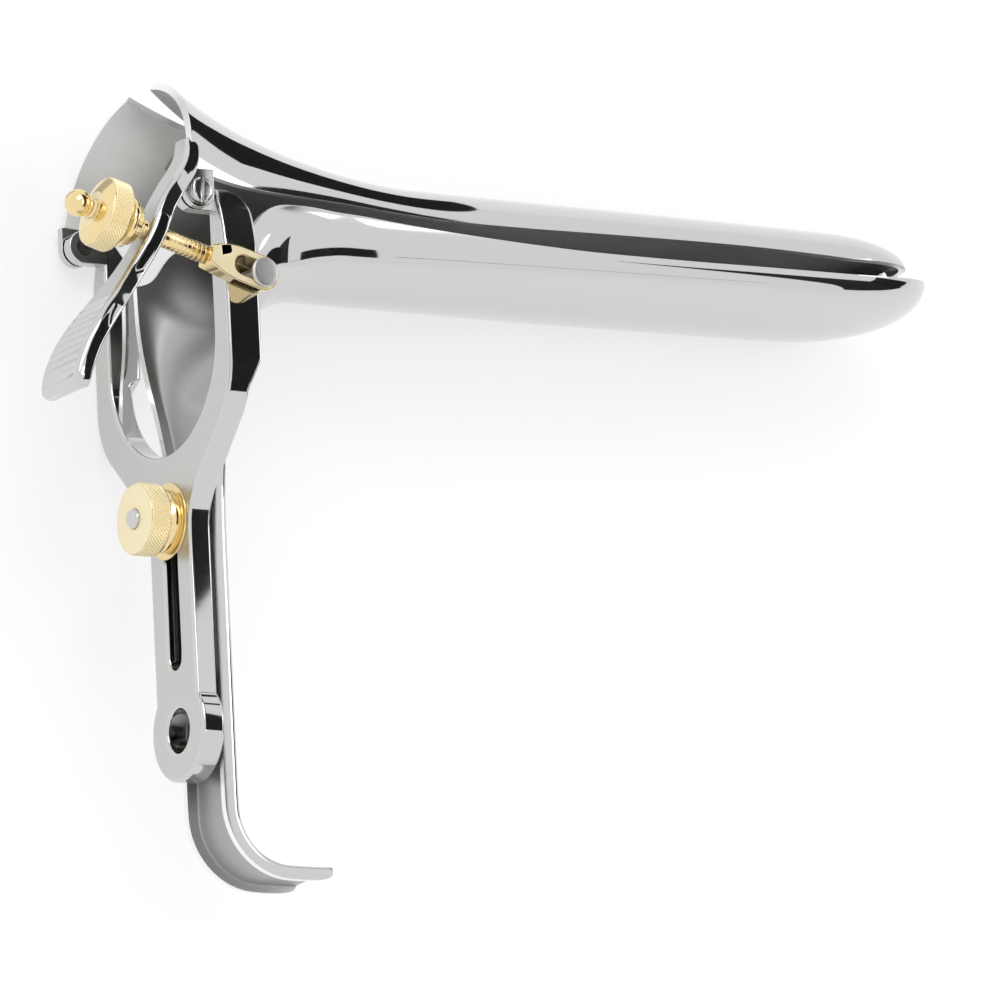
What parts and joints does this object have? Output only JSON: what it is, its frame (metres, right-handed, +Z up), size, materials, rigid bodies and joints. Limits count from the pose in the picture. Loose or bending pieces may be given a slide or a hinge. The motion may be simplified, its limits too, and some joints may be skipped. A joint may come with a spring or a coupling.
{
  "type": "vaginal speculum",
  "caption": "Bivalve speculum with two trough blades, a sliding yoke on a channel handle, a thumb lever and knurled screws that hold the opening.",
  "frame": {"origin": "centre of the eye hole at the yoke's lower end, halfway through the strip", "axes": "the part lies on its far side: +X towards the blades' tips, +Y up the handle towards the blades, +Z up across the part"},
  "size_m": [0.1636, 0.1188, 0.0489],
  "materials": {
    "polished_steel": "mirror-polished stainless steel outside, satin inside",
    "plain_steel": "turned stainless steel",
    "brass": "bright turned and knurled brass"
  },
  "bodies": {
    "handle": {"lower_blade": "polished_steel", "handle_stud": "plain_steel", "slide_washer": "brass"},
    "nut_low": {"thumb_nut": "brass"},
    "yoke": {"yoke_frame": "polished_steel", "near_hinge_screw": "plain_steel", "far_hinge_screw": "plain_steel", "rod_pivot_screw": "plain_steel"},
    "blade": {"upper_blade": "polished_steel", "thumb_lever": "polished_steel"},
    "rod": {"adjusting_rod": "brass", "rod_end_ball": "brass"},
    "collar": {"thrust_collar": "brass"},
    "nut_high": {"rod_nut": "brass"}
  },
  "joints": [
    {"name": "yoke_slide", "type": "slide", "parent": "handle", "child": "yoke", "axis": [0, 1, 0], "range_m": [0, 0.02]},
    {"name": "thumb_nut_turn", "type": "hinge", "parent": "handle", "child": "nut_low", "pos_m": [-0.00515, 0.0312, 0.00019], "axis": [-0.9993, 0, 0.0375], "continuous": true},
    {"name": "blade_hinge", "type": "hinge", "parent": "yoke", "child": "blade", "pos_m": [-0.00515, 0.0762, 0.00019], "axis": [0.0375, 0, 0.9993], "range_deg": [0, 30]},
    {"name": "rod_swing", "type": "hinge", "parent": "yoke", "child": "rod", "pos_m": [0.00288, 0.0633, 0.02211], "axis": [0.0375, 0, 0.9993], "range_deg": [-0.5, 13.5]},
    {"name": "collar_slide", "type": "slide", "parent": "rod", "child": "collar", "axis": [-0.9615, 0.2723, 0.0361], "range_m": [-0.0065, 0.0002]},
    {"name": "rod_nut_turn", "type": "hinge", "parent": "collar", "child": "nut_high", "pos_m": [-0.01635, 0.06875, 0.02283], "axis": [-0.9615, 0.2723, 0.0361], "continuous": true}
  ],
  "couplings": [
    {"joint": "rod_swing", "follows": "blade_hinge", "ratio": 0.42},
    {"joint": "collar_slide", "follows": "blade_hinge", "m_per_rad": -0.01203}
  ]
}
